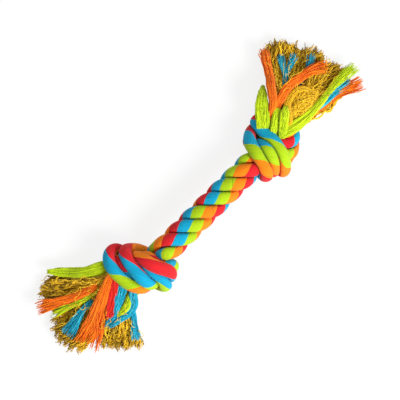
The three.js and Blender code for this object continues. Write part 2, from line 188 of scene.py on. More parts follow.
def laid_route(number):
    x = np.arange(-LAID_REACH, LAID_REACH + TRACE_STEP / 2, TRACE_STEP)
    turn = FULL_TURN * (x / LAY_PITCH + (number - 1) / len(STRANDS))
    return ROPE_MIDDLE + np.stack([x, LAY_RADIUS * np.cos(turn), LAY_RADIUS * np.sin(turn)], axis=1)


def strand_route(number):
    """Middle line of one whole strand, from its left tail through both knots to its right tail."""
    parts = [knot_route("left", number), laid_route(number), knot_route("right", number)[::-1]]
    return resample(blur(resample(np.concatenate(parts), TRACE_STEP), ROUTE_BLUR), RING_STEP)


ROUTES = {number: strand_route(number) for number in STRANDS}


# Strand surfaces

# A strand's soft section swells until it meets its neighbours, its own bend or the floor
STRAND_RADIUS = 4.5
STRAND_SPREAD = 0.55
STRAND_GAP = 0.06
STRAND_TAPER = 6.0
STRAND_TIP_SHARE = 0.72
SECTION_POINTS = 96
SECTION_BLUR = 1.2
NEIGHBOUR_REACH = 15.0
OWN_ARC = 14.0
FACING_LEAST = 0.5
FACING_NOTHING = 1e-3
FREE_ROOM = 99.0
BEND_SHARE = 0.9
LIMIT_LEAST = 0.5
LIMIT_POWER = 7.0
FREE_WAY_BLUR = 8.0
FREE_ANGLE_BLUR = 6.0

# Four colour bundles wind round each strand against the lay, spread wide on its free side
COLOURS = ("red", "blue", "lime", "orange")
STRIPE_TURN = 37.5
STRIPE_SPREAD = 0.36
STRIPE_CREASE = 0.22
STRIPE_CREASE_WIDTH = 0.5
STRIPE_BLUR = 8.0

# Knotting opens and closes a strand's twist: stripes gained by end and strand, at ways past the laid rope
KNOT_STRIPES = {
    ("left", 1): ((0, 0), (44, -1.45), (62, -0.35), (80, 0.15), (94, 1.5), (150, 2.8), (190, 6.4)),
    ("left", 2): ((0, 0), (38, -2.3), (54, -1.7), (104, 1.8), (144, 4.9)),
    ("left", 3): ((0, 0), (25, -2.8), (37, -2.6), (69, 0.2), (120, 3.0)),
    ("right", 1): ((-24, 0), (-6, 1.0), (4, 1.5), (92, 1.2), (132, 0.4)),
    ("right", 2): ((0, 0), (30, -1.4), (88, -0.9), (120, -1.6)),
    ("right", 3): ((0, 0), (30, 0.2), (46, -0.4), (86, -1.3), (126, -3.3), (165, -5.0)),
}
# A place along the rope where each strand crosses its top, and the stripe that faces up there
TOP_STRIPES = {1: (10.5, 2.02), 2: (-3.5, 3.0), 3: (-17.5, 1.93)}

# A strand is cut at three places along the rope. Each part has the two bodies that it blends, where it
# bends, and the bodies whose solids it stands for.
STRAND_CUTS = (-24.25, 0.0, 24.25)
STRAND_PARTS = {
    "knot_left": (("knot_left", "rope_left"), (-42.0, -29.0), ("knot_left",)),
    "rope_left": (("rope_left", "rope_middle"), (-20.5, -4.5), ("rope_left", "rope_middle")),
    "rope_right": (("rope_middle", "rope_right"), (4.5, 20.5), ("rope_right",)),
    "knot_right": (("rope_right", "knot_right"), (29.0, 42.0), ("knot_right",)),
}
WEAVE_LENGTH = 100.0


def steady_frame(route):
    """Tangents, and two crossways directions that follow the route without turning round it."""
    tangents = unit(np.gradient(route, axis=0))
    normal = unit(np.cross(tangents[0], ACROSS))
    normals = []
    for tangent in tangents:
        normal = unit(normal - tangent * (normal @ tangent))
        normals.append(normal)
    normals = np.array(normals)
    return tangents, normals, np.cross(tangents, normals)


def neighbours(number, ring):
    """Points of the other strands, and of this one past its own bend, that are near a ring."""
    found = []
    middle = ROUTES[number][ring]
    for other, route in ROUTES.items():
        near = np.linalg.norm(route - middle, axis=1) < NEIGHBOUR_REACH
        if other == number:
            near &= np.abs(np.arange(len(route)) - ring) * RING_STEP > OWN_ARC
        found.append(route[near])
    return np.concatenate(found) - middle


def soft_least(a, b):
    """The lesser of two positive values, rounded where they are nearly equal."""
    return (a**-LIMIT_POWER + b**-LIMIT_POWER) ** (-1 / LIMIT_POWER)


class Strand:
    """One strand from tip to tip: its route, its section at each ring and where its stripes run."""

    def __init__(self, number):
        self.number = number
        self.route = ROUTES[number]
        self.along = np.arange(len(self.route)) * RING_STEP
        self.angles = FULL_TURN * np.arange(SECTION_POINTS) / SECTION_POINTS
        self.tangents, self.normals, self.binormals = steady_frame(self.route)
        around = np.cos(self.angles)[:, None], np.sin(self.angles)[:, None]
        self.ways = around[0] * self.normals[:, None] + around[1] * self.binormals[:, None]
        self.near = [neighbours(number, ring) for ring in range(len(self.route))]
        self.free = self.free_angles()
        self.radii = self.section()
        self.gained = self.stripes_gained()
        self.gained += self.top_stripe_shift()

    def free_angles(self):
        """Angle, in the steady frame, of the side on which the strand has no neighbours."""
        away = np.zeros_like(self.route)
        for ring, near in enumerate(self.near):
            distance = np.linalg.norm(near, axis=1, keepdims=True)
            away[ring] = -np.sum((1 - distance / NEIGHBOUR_REACH) ** 2 * near / distance, axis=0)
        away = blur(away, FREE_WAY_BLUR)
        across = np.sum(away * self.normals, axis=1)
        up = np.sum(away * self.binormals, axis=1)
        return blur(np.unwrap(np.arctan2(up, across)), FREE_ANGLE_BLUR)

    def section(self):
        """Radii at the points of every ring."""
        radii = np.zeros((len(self.route), SECTION_POINTS))
        bend = np.gradient(self.tangents, axis=0) / RING_STEP
        for ring, (near, ways) in enumerate(zip(self.near, self.ways)):
            facing = ways @ near.T
            room = np.sum(near**2, axis=1) / np.maximum(2 * facing, TINY)
            room = np.min(np.where(facing > FACING_LEAST, room, FREE_ROOM), axis=1, initial=FREE_ROOM)
            limits = (
                room - STRAND_GAP,
                BEND_SHARE / np.maximum(ways @ bend[ring], FACING_NOTHING),
                (self.route[ring, 2] - FLOOR_GAP) / np.maximum(-ways[:, 2], FACING_NOTHING),
            )
            radius = STRAND_RADIUS + STRAND_SPREAD * np.sin(self.angles - self.free[ring]) ** 2
            for limit in limits:
                radius = soft_least(radius, np.maximum(limit, LIMIT_LEAST))
            radii[ring] = radius
        from_end = np.minimum(self.along, self.along[-1] - self.along)
        taper = STRAND_TIP_SHARE + (1 - STRAND_TIP_SHARE) * smoothstep(from_end / STRAND_TAPER)
        return blur(radii, SECTION_BLUR) * taper[:, None]

    def ring_at(self, x):
        """The ring of the laid rope that is nearest to a place along it."""
        out = self.route[:, 0] - ROPE_MIDDLE[0]
        laid = np.nonzero(np.abs(out) < LAID_REACH)[0]
        middle = laid[np.abs(laid / len(out) - 0.5) < LAID_SHARE / 2]
        return middle[np.argmin(np.abs(out[middle] - x))]

    def stripes_gained(self):
        """Stripes that the knots add to or take from the strand's even twist, at every ring."""
        gained = np.zeros(len(self.route))
        for end, side in SIDE.items():
            past = (np.arange(len(self.route)) - self.ring_at(side * LAID_REACH)) * side * RING_STEP
            gained += np.interp(past, *np.transpose(KNOT_STRIPES[end, self.number]))
        return blur(gained, STRIPE_BLUR)

    def top_stripe_shift(self):
        """Stripes to add so that the right one faces up on the rope."""
        x, wanted = TOP_STRIPES[self.number]
        ring = self.ring_at(x)
        return wanted - self.stripe(self.free[:, None])[ring, 0]

    def stripe(self, angles):
        """Place in the cycle of four stripes, at angles of the steady frame."""
        off = angles - self.free[:, None]
        spread = off - (1 - STRIPE_SPREAD) * np.sin(off)
        turns = (self.free[:, None] + spread) / FULL_TURN + self.along[:, None] / STRIPE_TURN
        return len(COLOURS) * turns + self.gained[:, None]

    def surface(self):
        """Points of every ring, with the shallow creases between the colour bundles."""
        stripe = self.stripe(self.angles[None, :])
        squeeze = 1 - (1 - STRIPE_SPREAD) * np.cos(self.angles - self.free[:, None])
        off = np.abs(stripe - np.round(stripe)) * self.radii * FULL_TURN / len(COLOURS) / squeeze
        radii = self.radii - STRIPE_CREASE * np.exp(-((off / STRIPE_CREASE_WIDTH) ** 2))
        return self.route[:, None] + radii[..., None] * self.ways

    def weave(self):
        """Place in the cycle of colours and along the strand, once round every ring."""
        stripe = self.stripe(np.append(self.angles, FULL_TURN)[None, :])
        along = np.broadcast_to(self.along[:, None], stripe.shape)
        return np.stack([stripe / len(COLOURS), along / WEAVE_LENGTH], axis=-1)


def make_mesh(name, points, faces, material, corner_uv=None, point_values=None):
    """A smooth mesh from points and a list of face arrays, one array for each count of corners."""
    mesh = bpy.data.meshes.new(name)
    mesh.vertices.add(len(points))
    mesh.vertices.foreach_set("co", (points * MM).astype(np.float32).ravel())
    corners = np.concatenate([f.ravel() for f in faces])
    counts = np.concatenate([np.full(len(f), f.shape[1]) for f in faces])
    starts = np.r_[0, np.cumsum(counts)[:-1]]
    mesh.loops.add(len(corners))
    mesh.loops.foreach_set("vertex_index", corners.astype(np.int32))
    mesh.polygons.add(len(counts))
    mesh.polygons.foreach_set("loop_start", starts.astype(np.int32))
    mesh.polygons.foreach_set("use_smooth", np.ones(len(counts), bool))
    mesh.update(calc_edges=True)
    mesh.validate()
    if corner_uv is not None:
        layer = mesh.uv_layers.new(name="weave")
        layer.data.foreach_set("uv", corner_uv.astype(np.float32).ravel())
    for key, values in (point_values or {}).items():
        mesh.attributes.new(key, "FLOAT", "POINT").data.foreach_set("value", values.astype(np.float32))
    mesh.materials.append(material)
    obj = bpy.data.objects.new(name, mesh)
    bpy.context.scene.collection.objects.link(obj)
    return obj


def tube_faces(rings, sides):
    """Quads of an open tube, and the two faces that close it, for points listed ring by ring."""
    r, s = np.meshgrid(np.arange(rings - 1), np.arange(sides), indexing="ij")
    t = (s + 1) % sides
    quads = np.stack([r * sides + s, r * sides + t, (r + 1) * sides + t, (r + 1) * sides + s], axis=-1)
    caps = np.stack([np.arange(sides)[::-1], (rings - 1) * sides + np.arange(sides)])
    return quads.reshape(-1, 4), caps


# Materials

PAINT = {
    "red": linear(216, 28, 36),
    "blue": linear(0, 162, 202),
    "lime": linear(168, 202, 10),
    "orange": linear(244, 130, 4),
}
# Dark, middle and light tones of the loose yarns
YARN_TONES = {
    "red": ((176, 20, 16), (216, 32, 26), (232, 58, 34)),
    "blue": ((0, 112, 140), (6, 160, 190), (84, 194, 210)),
    "lime": ((140, 170, 6), (184, 208, 12), (208, 226, 28)),
    "orange": ((192, 70, 4), (236, 112, 8), (252, 142, 20)),
    "core": ((140, 108, 12), (216, 170, 18), (248, 206, 44)),
}
YARN_TONE_PLACES = (0.1, 0.5, 0.9)
YARN_GRAIN = 900.0
YARN_MOTTLE = 0.8
YARN_BUMP = 0.2
COVER_GRAIN = (150.0, 12.0, 0.0)
COVER_RAGGED = 0.012
COVER_TONES = ((0.25, 0.72), (0.7, 1.06))
COVER_BUMP = 0.25
CLOTH_SPECULAR = 0.25
CLOTH_SHEEN_ROUGHNESS = 0.5


class Material:
    """A cloth material whose nodes are added one at a time."""

    def __init__(self, name, roughness, sheen):
        self.material = bpy.data.materials.new(name)
        self.material.use_nodes = True
        self.nodes = self.material.node_tree.nodes
        self.links = self.material.node_tree.links
        self.shader = self.nodes["Principled BSDF"]
        self.shader.inputs["Roughness"].default_value = roughness
        self.shader.inputs["Sheen Weight"].default_value = sheen
        self.shader.inputs["Sheen Roughness"].default_value = CLOTH_SHEEN_ROUGHNESS
        self.shader.inputs["Specular IOR Level"].default_value = CLOTH_SPECULAR

    def add(self, kind, inputs=None, **settings):
        node = self.nodes.new(kind)
        for key, value in settings.items():
            setattr(node, key, value)
        for key, value in (inputs or {}).items():
            if isinstance(value, bpy.types.NodeSocket):
                self.links.new(value, node.inputs[key])
            else:
                node.inputs[key].default_value = value
        return node

    def math(self, operation, *values):
        return self.add("ShaderNodeMath", dict(enumerate(values)), operation=operation).outputs[0]

    def noise(self, place, scale, detail, dimensions="3D"):
        inputs = {"Vector": place, "Scale": scale, "Detail": detail}
        return self.add("ShaderNodeTexNoise", inputs, noise_dimensions=dimensions).outputs[0]

    def ramp(self, value, stops, interpolation="LINEAR"):
        node = self.add("ShaderNodeValToRGB", {0: value})
        node.color_ramp.interpolation = interpolation
        while len(node.color_ramp.elements) < len(stops):
            node.color_ramp.elements.new(1.0)
        for element, (place, colour) in zip(node.color_ramp.elements, stops):
            element.position = place
            element.color = colour
        return node.outputs[0]

    def multiply(self, one, other):
        factor, first, second, result = 0, 6, 7, 2
        inputs = {first: one, second: other, factor: 1.0}
        mix = self.add("ShaderNodeMix", inputs, data_type="RGBA", blend_type="MULTIPLY")
        return mix.outputs[result]

    def finish(self, colour, height, depth):
        bump = self.add("ShaderNodeBump", {"Height": height, "Distance": depth * MM, "Strength": 1.0})
        self.links.new(colour, self.shader.inputs["Base Color"])
        self.links.new(bump.outputs[0], self.shader.inputs["Normal"])
        return self.material


def striped_cover():
    """Cotton cover of a strand: four colours by the place round it, with fine fibres along the stripes."""
    made = Material("striped_cover", roughness=0.85, sheen=0.06)
    place = made.add("ShaderNodeUVMap", uv_map="weave").outputs[0]
    fibres = made.add("ShaderNodeVectorMath", {0: place, 1: COVER_GRAIN}, operation="MULTIPLY").outputs[0]
    grain = made.noise(fibres, scale=1.0, detail=3.0, dimensions="2D")
    across = made.add("ShaderNodeSeparateXYZ", {0: place}).outputs[0]
    edge = made.math("ADD", across, made.math("MULTIPLY", grain, COVER_RAGGED))
    stops = [(k / len(COLOURS), PAINT[colour]) for k, colour in enumerate(COLOURS)]
    paint = made.ramp(made.math("FRACT", edge), stops, "CONSTANT")
    tone = made.ramp(grain, [(stop, (light, light, light, 1)) for stop, light in COVER_TONES])
    return made.finish(made.multiply(paint, tone), grain, COVER_BUMP)


def yarn_material(name, tones):
    """Soft loose yarn: its tone differs from yarn to yarn and along each, with a fine fuzz."""
    made = Material(name, roughness=0.9, sheen=0.1)
    tone = made.add("ShaderNodeAttribute", attribute_name="tone").outputs["Fac"]
    place = made.add("ShaderNodeTexCoord").outputs["Object"]
    grain = made.noise(place, scale=YARN_GRAIN, detail=2.0)
    mixed = made.math("MULTIPLY_ADD", made.math("ADD", grain, -0.5), YARN_MOTTLE, tone)
    colour = made.ramp(mixed, [(place, linear(*rgb)) for place, rgb in zip(YARN_TONE_PLACES, tones)])
    return made.finish(colour, grain, YARN_BUMP)


STRIPED = striped_cover()
YARNS = {name: yarn_material(f"yarn_{name}", tones) for name, tones in YARN_TONES.items()}


# Strands


def add_strand(strand):
    """The four parts of a strand, cut at places along the rope; each hides the solids that it stands for."""
    points = strand.surface()
    weave = strand.weave()
    bounds = [0, *(strand.ring_at(x) for x in STRAND_CUTS), len(points) - 1]
    for first, last, (part, (bodies, bend, solids)) in zip(bounds, bounds[1:], STRAND_PARTS.items()):
        rings = slice(first, last + 1)
        faces = tube_faces(last + 1 - first, SECTION_POINTS)
        cells = weave[rings]
        uv = np.stack([cells[:-1, :-1], cells[:-1, 1:], cells[1:, 1:], cells[1:, :-1]], axis=2)
        uv = np.concatenate([uv.reshape(-1, 2), cells[0, -2::-1], cells[-1, :-1]])
        obj = make_mesh(f"strand_{strand.number}_{part}", points[rings].reshape(-1, 3), faces, STRIPED, uv)
        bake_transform(obj)
        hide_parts(*(f"{body}_strand_{strand.number}" for body in solids))


strands = [Strand(number) for number in STRANDS]
for strand in strands:
    add_strand(strand)


# Tails: past each knot a strand opens into its yarn core and its four cover bundles

# Each tail by end and number, counted towards +Y. Places are outward from the knot's middle and across the
# rope. A core has its tip and width. A bundle under its core has its route and widths, as its solid has. A
# bundle over it has one or more loose parts, each a list of places with the lift over the core's top and the
# width there. A part that starts short of the strand's end comes out of the knot, and the others peel off
# the strand.
TAIL_SHAPES = {
    ("left", 1): {
        "core": ((51, -26), 28),
        "orange": ([(40, -16), (52, -27)], (4, 5)),
        "blue": [
            [(16, 2.6, 3, 5), (21.5, 1.8, 2.5, 8), (28, -2, 4, 6.5), (35.4, -5.9, 4.5, 5),
             (47, -10.5, 4.5, 3.5)],
            [(14, -4, 2.5, 5), (18.5, -7, 1.5, 6), (22, -11.8, 2, 5), (28, -13.9, 3, 5),
             (38, -12.5, 4.5, 4.5), (46, -10.5, 5, 3)],
            [(26, -14, -1, 3.5), (30.2, -20, 2.5, 4), (36.2, -27.1, 3, 4.5), (40, -32, 2, 4.5)],
        ],
        "lime": [[(20, -5, 0, 3), (25.2, -8.6, 3, 4.5), (30, -9.6, 4.2, 4.5), (36.4, -9.9, 5, 3)]],
        "red": [[(16, 10, 3, 4.5), (21.5, 8.6, 3, 6), (30, 2, 5, 6.5), (37.9, -4, 5.5, 6), (44, -7, 5, 4)]],
    },
    ("left", 2): {
        "core": ((76, 6), 26),
        "red": ([(45, 4), (68, 1)], (4, 5)),
        "orange": [
            [(16, 14.4, 3, 3.5), (22.2, 13, 3, 6), (34, 7.5, 5.5, 9), (46, 1.2, 5.5, 12),
             (57, -4.5, 4.5, 15), (68, -9, 4, 16)],
        ],
        "blue": [
            [(30, 8, -2, 3), (40, 11, -1, 3), (46.6, 10.7, 2, 4), (56, 10, 3.5, 5),
             (64, 8, 3.5, 6.5), (72.9, 6.1, 3, 8)],
        ],
        "lime": [[(26, 9, -2, 3), (38, 14, 1.5, 4), (48, 17, 3.5, 5), (58, 21, 3.5, 5.5), (69, 25, 3, 5)]],
    },
    ("left", 3): {
        "core": ((63, 37), 20),
        "blue": ([(42, 17), (58, 30)], (4, 5)),
        "red": ([(40, 22), (56, 39)], (4, 5)),
        "orange": [
            [(26, 15, -2, 3.5), (36, 17, 2, 4.5), (49, 21.5, 4, 5.5), (62, 28, 4, 6.5), (75, 34, 4, 8)],
        ],
        "lime": [
            [(10, 15, -9, 6), (20, 22.4, -3, 9), (32, 29.3, 0, 7.5), (41.5, 38.2, 1, 6.5), (51, 48.5, 1, 6)],
        ],
    },
    ("right", 1): {
        "core": ((73, 3), 20),
        "red": ([(45, 2), (66, 5)], (4, 5)),
        "orange": [
            [(40, -5, -2, 3), (48, -6, 0, 4), (57.9, -6.5, 2, 5), (68, -9, 3, 6.5), (80, -13.5, 2.5, 8)],
        ],
        "blue": [[(34, -2, -2, 3), (47.5, -4.2, 2.5, 4), (60, -4.5, 3.5, 5), (74, -6, 3, 6)]],
        "lime": [
            [(9, 1, -4, 6), (16, -0.5, 1, 7), (22.2, -1.9, 3.5, 8), (30, -2.9, 4.5, 7),
             (43, -3, 5, 4.5), (58, -1.5, 4, 4.5), (74, -0.8, 4, 6.5), (85, -2, 3, 7)],
        ],
    },
    ("right", 2): {
        "core": ((69, 25.5), 16),
        "red": ([(42, 15), (62, 23)], (4, 5)),
        "lime": [
            [(11, -1, -2, 5), (15, 2.5, 2.5, 6), (22, 8.5, 6, 6.5), (27.5, 13, 6, 5)],
            [(5, 4.5, -4, 4), (9.5, 6.8, 0.5, 4.5), (16, 11.6, 3, 4.5), (22, 15.5, 3, 4), (26, 18, 3, 2.5)],
        ],
        "blue": [[(40, 16, -2, 2.5), (52, 18.5, -0.5, 3), (60.4, 21.5, 2, 3), (68.4, 26.2, 2, 3.5)]],
        "orange": [
            [(15, 13, -2, 4), (22.2, 16.5, 2.5, 5), (30, 19.5, 5.5, 5.5), (38.3, 21.6, 7, 6),
             (46.7, 20.8, 7, 6), (59.5, 18.2, 6, 6), (70, 13, 4, 6.5)],
        ],
    },
    ("right", 3): {
        "core": ((57, 46), 20),
        "red": ([(42, 30), (53, 42)], (4, 5)),
        "blue": [
            [(30, 20, -2, 2.5), (37, 23, -1, 2.5), (42.7, 28.3, 2.5, 3), (47, 35, 3, 3),
             (52.1, 42.3, 2.5, 4)],
            [(30, 20, -2, 2.5), (37, 23, -1, 2.5), (43, 28, 2.5, 3), (51, 31.5, 3, 3),
             (59.4, 35.2, 2.5, 4)],
        ],
        "orange": [
            [(13, 13, -1, 4.5), (18, 17, 2.5, 5), (24, 22, 4, 5.5), (30, 29.8, 4.5, 6),
             (37, 39.2, 4.5, 6), (45.7, 53.5, 4, 6)],
        ],
        "lime": [
            [(3, 11, -4, 8), (8.3, 16.2, 2, 9.5), (14.7, 24, 2.5, 10), (20, 29, 1, 7.5), (27, 35, 0, 4)],
        ],
    },
}
# How far a bundle's tip frays, where it isn't as the others do
FRAYS = {
    ("left", 3, "lime"): 0.25,
    ("left", 1, "red"): 0.5,
    ("left", 1, "lime"): 0.4,
    ("right", 3, "lime"): 0.3,
    ("right", 2, "lime"): 0.25,
}
BLEND_REACH = 7.0

# Yarns. Their random waves are given as a rate along the yarn and a size.
YARN_SIDES = 5
CURVE_STEPS = 24
WAVE_RATES = (0.7, 1.3)
WAVE_ROOT = 0.3
RAY_HEIGHT = 100.0

# Cover bundles: thin yarns round a few thick ones that fill them, spread and fray towards the tip
COVER_RINGS = 48
COVER_YARNS = 50
COVER_YARNS_BY_WIDTH = 5.0
COVER_YARN_PACKING = 1.6
COVER_YARN_RADII = (0.22, 0.5)
COVER_OUTWARD = 0.36
COVER_TURN_JITTER = 0.3
COVER_DRIFT = 0.5
COVER_DRIFT_RATES = (0.3, 0.7)
COVER_WAVES = ((5.0, 0.12), (1.5, 0.3))
COVER_THICKNESS = 3.0
COVER_ROUNDEST = 0.7
SOLID_COVER_THICKNESS = 2.0
UNDER_STEPS = 4
COVER_FRAY = 0.16
COVER_FRAY_POWER = 1.6
COVER_LOOSE_FROM = 0.65
COVER_LOOSE_SPREAD = 0.2
COVER_LOOSE_SHIFT = 0.9
COVER_LOOSE_WAYS = np.array([1, 1, 0.6])
COVER_CLOSES_FROM = 0.8
COVER_CLOSES = 0.7
COVER_THIN_FROM = 0.88
COVER_THIN = 0.4
COVER_TONE = 0.5
COVER_TONE_SPREAD = 0.08
COVER_TONE_FRAYED = 0.09
COVER_FILL = (-0.66, -0.33, 0.0, 0.33, 0.66)
COVER_FILL_FRAY = 1.1
COVER_FILL_SHARE = 0.96
COVER_FILL_FRAYED = 0.08
COVER_FILL_THIN_FROM = 0.7
COVER_FILL_THIN = 0.8
PEEL_BACKS = (12.0, 8.0, 4.0, 0.0)
PEEL_WIDTH = 6.2
PEEL_THICKNESS = 1.6

# Cores: plied yarns that fan out, with some strays on top and thin wisps over them
CORE_RINGS = 48
CORE_PLIES = 120
CORE_STRAYS = 14
CORE_STRAY_WAVES = 1.8
CORE_WAVES = ((6.0, 0.55), (1.6, 1.2))
CORE_ROOT_RADIUS = 3.4
CORE_SPREAD = 5.0
CORE_TIP_HEIGHT = 9.0
CORE_DROP = 38.0
CORE_BEND_SHARE = 0.16
CORE_DEPTH = 3.0
CORE_PAST_TIP = 1.12
CORE_PLAN_STEPS = 60
CORE_SPINE_STEPS = 192
CORE_LENGTH = 1.04
CORE_LENGTH_SPREAD = 0.035
CORE_SIDE_SHORT = 0.09
CORE_TOP_SHORT = 0.04
CORE_LENGTHS = (0.75, 1.1)
CORE_LOOSE_FROM = 0.75
CORE_LOOSE_SHIFT = 0.7
CORE_TONE = 0.55
CORE_TONE_SPREAD = 0.22
CORE_DARK_FROM = 0.5
CORE_DARK = 0.2
CORE_YARN_RADIUS = 0.4
CORE_YARN_SIZES = (0.85, 1.15)
CORE_YARN_TONES = 0.08
CORE_THIN_FROM = 0.92
CORE_THIN = 0.45
PLY_YARNS = 3
PLY_RADIUS = 0.42
PLY_TURN = 7.0
PLY_OPENS_FROM = 0.8
PLY_OPENS = 0.8
WISPS = 14
WISP_RADIUS = 0.17
WISP_STARTS = (0.2, 0.65)
WISP_LENGTHS = (0.15, 0.4)
WISP_SIDES = (-0.9, 0.9)
WISP_SWAYS = (-0.6, 0.6)
WISP_SWAY_TURNS = (1.5, 5.0)
WISP_LIFTS = (4.0, 9.0)
WISP_ARCH = math.pi * 0.85
WISP_SINK = 1.0
WISP_TONES = (0.7, 1.0)
WISP_WAVES = (2.5, 0.8)

# Nest of loops on one core, with a rim of smoother yarn along one side
LOOPS = 190
LOOP_YARN_RADIUS = 0.3
LOOP_TURNS = (3.4, 6.6)
LOOP_SIZES = (0.18, 0.62)
LOOP_SWELL = 0.25
LOOP_SWELL_RATES = (0.5, 1.6)
LOOP_STRETCH = 1.25
LOOP_LIFT = 2.0
LOOP_LIFTS = (-1.6, 1.6)
LOOP_CROWN = 2.5
LOOP_WAVES = (6.0, 0.4)
LOOP_TONE = 0.85
LOOP_TONE_SPREAD = 0.25
NEST_FRAY = 0.4
NEST_RIM = [
    (16, 2, -1, 3), (21.6, 3.2, 4, 4), (28.9, 12.5, 6, 4.5), (35.5, 15.5, 6, 4.5),
    (44, 14.5, 6, 4), (48.2, 8.5, 5, 3.5), (46, 3, 4, 3),
]
NEST = ("right", 1, (38.4, 5.0), (12.5, 9.5), NEST_RIM)


def curve_through(points, count):
    """A smooth route through rows that start with a place, as that many rows at even steps along it."""
    points = np.array(points, float)
    ends = np.concatenate([[2 * points[0] - points[1]], points, [2 * points[-1] - points[-2]]])
    fine = []
    t = np.linspace(0, 1, CURVE_STEPS, endpoint=False)[:, None]
    for a, b, c, d in zip(ends[:-3], ends[1:-2], ends[2:-1], ends[3:]):
        bends = (2 * a - 5 * b + 4 * c - d) * t**2 + (3 * b - a - 3 * c + d) * t**3
        fine.append(0.5 * (2 * b + (c - a) * t + bends))
    fine = np.concatenate([*fine, points[-1:]])
    along = arc_lengths(fine[:, :3])
    return columns_at(np.linspace(0.0, along[-1], count), along, fine)


def joined(yarns):
    """Paths, radii and tones of several sets of yarns as one set."""
    return [np.concatenate(values) for values in zip(*yarns)]


def yarn_tubes(name, yarns, material):
    """One mesh of closed round yarns that lie on the floor or over it, from their paths, radii and tones."""
    paths, radii, tones = yarns
    count, rings = radii.shape
    paths[..., 2] = np.maximum(paths[..., 2], radii + FLOOR_GAP)
    tangents = unit(np.gradient(paths, axis=1))
    normal = unit(np.cross(tangents[:, 0], ASKEW))
    normals = np.empty_like(paths)
    for ring in range(rings):
        tangent = tangents[:, ring]
        normal = unit(normal - tangent * np.sum(normal * tangent, axis=1, keepdims=True))
        normals[:, ring] = normal
    binormals = np.cross(tangents, normals)
    angles = FULL_TURN * np.arange(YARN_SIDES)[:, None] / YARN_SIDES
    ways = normals[:, :, None] * np.cos(angles) + binormals[:, :, None] * np.sin(angles)
    points = paths[:, :, None] + radii[:, :, None, None] * ways
    quads, caps = tube_faces(rings, YARN_SIDES)
    shift = (np.arange(count) * rings * YARN_SIDES)[:, None, None]
    faces = [(quads[None] + shift).reshape(-1, 4), (caps[None] + shift).reshape(-1, YARN_SIDES)]
    tone = np.repeat(tones.ravel(), YARN_SIDES)
    return make_mesh(name, points.reshape(-1, 3), faces, material, point_values={"tone": tone})


def yarn_waves(count, share, *waves):
    """Gentle random waves along each yarn, nothing at its root."""
    total = 0.0
    for rate, size in waves:
        phases = rng.uniform(0, FULL_TURN, (count, 1, 3))
        rates = rng.uniform(*WAVE_RATES, (count, 1, 3)) * rate
        wave = size * np.sin(FULL_TURN * rates * share[:, :, None] + phases)
        total = total + wave * smoothstep(share / WAVE_ROOT)[:, :, None]
    return total


def strand_end(end, slot):
    """The strand whose end opens into a tail, and the ring at its end."""
    pivot = joint_place(f"lift_tail_{end}_{slot}")
    ends = [(strand, 0 if end == "left" else len(strand.route) - 1) for strand in strands]
    off = [np.linalg.norm(strand.route[ring] - pivot) for strand, ring in ends]
    return ends[np.argmin(off)]


def plan_place(end, out, across):
    return np.array([ROPE_MIDDLE[0] + SIDE[end] * (KNOT_X + out), ROPE_MIDDLE[1] + across, 0.0])


def core_top(end, slot, places):
    """Heights of the top of a tail's core at places of the plan, falling from the strand's end to the tip."""
    pivot = joint_place(f"lift_tail_{end}_{slot}")
    past = np.linalg.norm((places - pivot)[..., :2], axis=-1)
    past = np.where((places[..., 0] - pivot[0]) * SIDE[end] > 0, past, 0.0)
    fan = smoothstep(past / CORE_DROP)
    return (1 - fan) * (pivot[2] + CORE_ROOT_RADIUS) + fan * CORE_TIP_HEIGHT


def top_of_node(name, places):
    """Heights of a solid's top over places of the plan, filled in from those beside it where it has none."""
    wall = solid(name)[1]
    hits = [wall.ray_cast(Vector((x, y, RAY_HEIGHT)), DOWN)[0] for x, y, _ in places]
    known = [k for k, hit in enumerate(hits) if hit is not None]
    return np.interp(np.arange(len(hits)), known, [hits[k].z for k in known])


# A bundle's rows each hold a place, width, thickness, curl and crossways direction
PLACE, WIDTH, THICKNESS, CURL, WAY = slice(0, 3), 3, 4, 5, slice(6, 9)


def peeling_rows(strand, last, end, colour, lowest):
    """Rows of a colour's bundle along the strand's end, given the place among the colours that is lowest."""
    down = math.atan2(-strand.binormals[last, 2], -strand.normals[last, 2])
    angle = down + (COLOURS.index(colour) - lowest) * FULL_TURN / len(COLOURS)
    point = round(angle / FULL_TURN * SECTION_POINTS) % SECTION_POINTS
    rows = []
    for back in PEEL_BACKS:
        ring = last - SIDE[end] * round(back / RING_STEP)
        way = math.cos(angle) * strand.normals[ring] + math.sin(angle) * strand.binormals[ring]
        radius = strand.radii[ring, point]
        wide = np.cross(way, strand.tangents[ring] * SIDE[end])
        rows.append([*(strand.route[ring] + radius * way), PEEL_WIDTH, PEEL_THICKNESS, 1 / radius, *wide])
    return rows


def flat_rows(places, widths):
    """Rows of a bundle that lies flat along places."""
    flat = unit(np.cross(UP, np.gradient(places, axis=0)))
    thick = np.minimum(COVER_THICKNESS, COVER_ROUNDEST * np.asarray(widths))
    return [[*place, wide, high, 0.0, *way] for place, wide, high, way in zip(places, widths, thick, flat)]


def under_rows(end, node, route, widths):
    """Rows of a bundle that lies under its core, where its solid does."""
    plan = curve_through([plan_place(end, *place) for place in route], UNDER_STEPS * len(route))
    plan[:, 2] = top_of_node(node, plan) - SOLID_COVER_THICKNESS / 2
    return flat_rows(plan, np.interp(np.linspace(0, 1, len(plan)), np.linspace(0, 1, len(widths)), widths))


def loose_rows(end, slot, part):
    """Rows of a loose part of a bundle, which lies over its core."""
    places = np.array([plan_place(end, out, across) for out, across, _, _ in part])
    places[:, 2] = core_top(end, slot, places) + np.array([lift for _, _, lift, _ in part])
    return flat_rows(places, [wide for _, _, _, wide in part])


